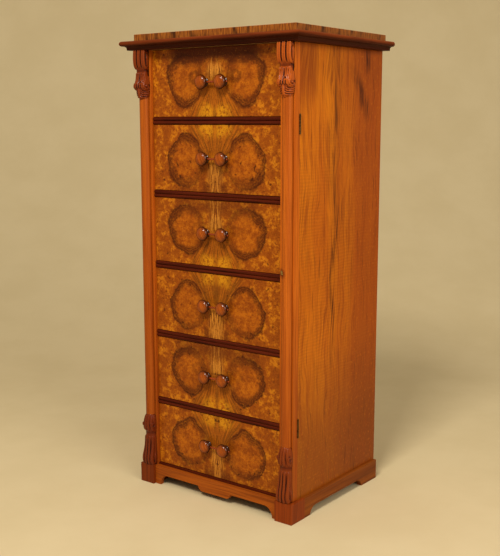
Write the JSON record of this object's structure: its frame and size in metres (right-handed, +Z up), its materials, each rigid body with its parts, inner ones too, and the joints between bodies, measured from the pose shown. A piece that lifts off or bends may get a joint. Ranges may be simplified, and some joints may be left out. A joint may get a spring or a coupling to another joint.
{
  "type": "wellington chest",
  "caption": "Tall narrow chest of drawers in burr walnut with a moulded cornice, carved pilasters, turned pulls and a hinged locking flap down its right side.",
  "frame": {"origin": "on the floor, under the middle of the chest's overall box", "axes": "+Z up, -Y out of the drawer fronts, +X to the right as seen from the front"},
  "size_m": [0.596, 0.455, 1.27],
  "materials": {
    "walnut_veneer": "french-polished walnut veneer with upright grain",
    "burr_veneer": "french-polished burr walnut, book-matched about the centre",
    "dark_mahogany": "polished dark red mahogany moulding",
    "red_walnut": "polished red-brown walnut",
    "carved_walnut": "carved and polished walnut, dark in the hollows",
    "plinth_walnut": "polished walnut veneer, scuffed low down",
    "turned_walnut": "turned and polished dark walnut",
    "pine": "bare sawn pine, aged",
    "drawer_lining": "planed oak drawer lining, oiled by use",
    "brass": "aged brass"
  },
  "bodies": {
    "case": {"left_side_panel": "walnut_veneer", "right_side_panel": "walnut_veneer", "lock_stile": "walnut_veneer", "top_slab": "walnut_veneer", "cornice_front": "dark_mahogany", "cornice_left": "dark_mahogany", "cornice_right": "dark_mahogany", "drawer_rails": "dark_mahogany", "bottom_rail": "dark_mahogany", "left_stile": "red_walnut", "left_column": "red_walnut", "left_corbel": "carved_walnut", "left_base_scroll": "carved_walnut", "plinth_blocks": "plinth_walnut", "front_apron": "plinth_walnut", "left_apron": "plinth_walnut", "right_apron": "plinth_walnut", "back_boards": "pine", "bottom_board": "pine", "case_top": "pine", "dust_boards": "pine", "drawer_guides": "pine", "drawer_stops": "pine", "back_plinth_rail": "pine", "glue_blocks": "pine", "hinge_case_leaves": "brass", "hinge_pins": "brass", "strike_plate": "brass"},
    "flap": {"flap_stile": "red_walnut", "flap_column": "red_walnut", "flap_corbel": "carved_walnut", "flap_base_scroll": "carved_walnut", "hinge_flap_leaves": "brass", "lock_case": "brass", "escutcheon": "brass"},
    "lock_bolt": {"lock_bolt": "brass"},
    "drawer_1": {"drawer_1_front": "burr_veneer", "drawer_1_box": "drawer_lining", "drawer_1_bottom": "drawer_lining", "drawer_1_pull": "turned_walnut"},
    "drawer_2": {"drawer_2_front": "burr_veneer", "drawer_2_box": "drawer_lining", "drawer_2_bottom": "drawer_lining", "drawer_2_pull": "turned_walnut"},
    "drawer_3": {"drawer_3_front": "burr_veneer", "drawer_3_box": "drawer_lining", "drawer_3_bottom": "drawer_lining", "drawer_3_pull": "turned_walnut"},
    "drawer_4": {"drawer_4_front": "burr_veneer", "drawer_4_box": "drawer_lining", "drawer_4_bottom": "drawer_lining", "drawer_4_pull": "turned_walnut"},
    "drawer_5": {"drawer_5_front": "burr_veneer", "drawer_5_box": "drawer_lining", "drawer_5_bottom": "drawer_lining", "drawer_5_pull": "turned_walnut"},
    "drawer_6": {"drawer_6_front": "burr_veneer", "drawer_6_box": "drawer_lining", "drawer_6_bottom": "drawer_lining", "drawer_6_pull": "turned_walnut"}
  },
  "joints": [
    {"name": "drawer_1_slide", "type": "slide", "parent": "case", "child": "drawer_1", "axis": [0, -1, 0], "range_m": [0, 0.3]},
    {"name": "drawer_2_slide", "type": "slide", "parent": "case", "child": "drawer_2", "axis": [0, -1, 0], "range_m": [0, 0.3]},
    {"name": "drawer_3_slide", "type": "slide", "parent": "case", "child": "drawer_3", "axis": [0, -1, 0], "range_m": [0, 0.3]},
    {"name": "drawer_4_slide", "type": "slide", "parent": "case", "child": "drawer_4", "axis": [0, -1, 0], "range_m": [0, 0.3]},
    {"name": "drawer_5_slide", "type": "slide", "parent": "case", "child": "drawer_5", "axis": [0, -1, 0], "range_m": [0, 0.3]},
    {"name": "drawer_6_slide", "type": "slide", "parent": "case", "child": "drawer_6", "axis": [0, -1, 0], "range_m": [0, 0.3]},
    {"name": "flap_hinge", "type": "hinge", "parent": "case", "child": "flap", "pos_m": [0.26, -0.16725, 0.642], "axis": [0, 0, 1], "range_deg": [0, 165]},
    {"name": "lock_bolt_slide", "type": "slide", "parent": "flap", "child": "lock_bolt", "axis": [-1, 0, 0], "range_m": [0, 0.008]}
  ]
}
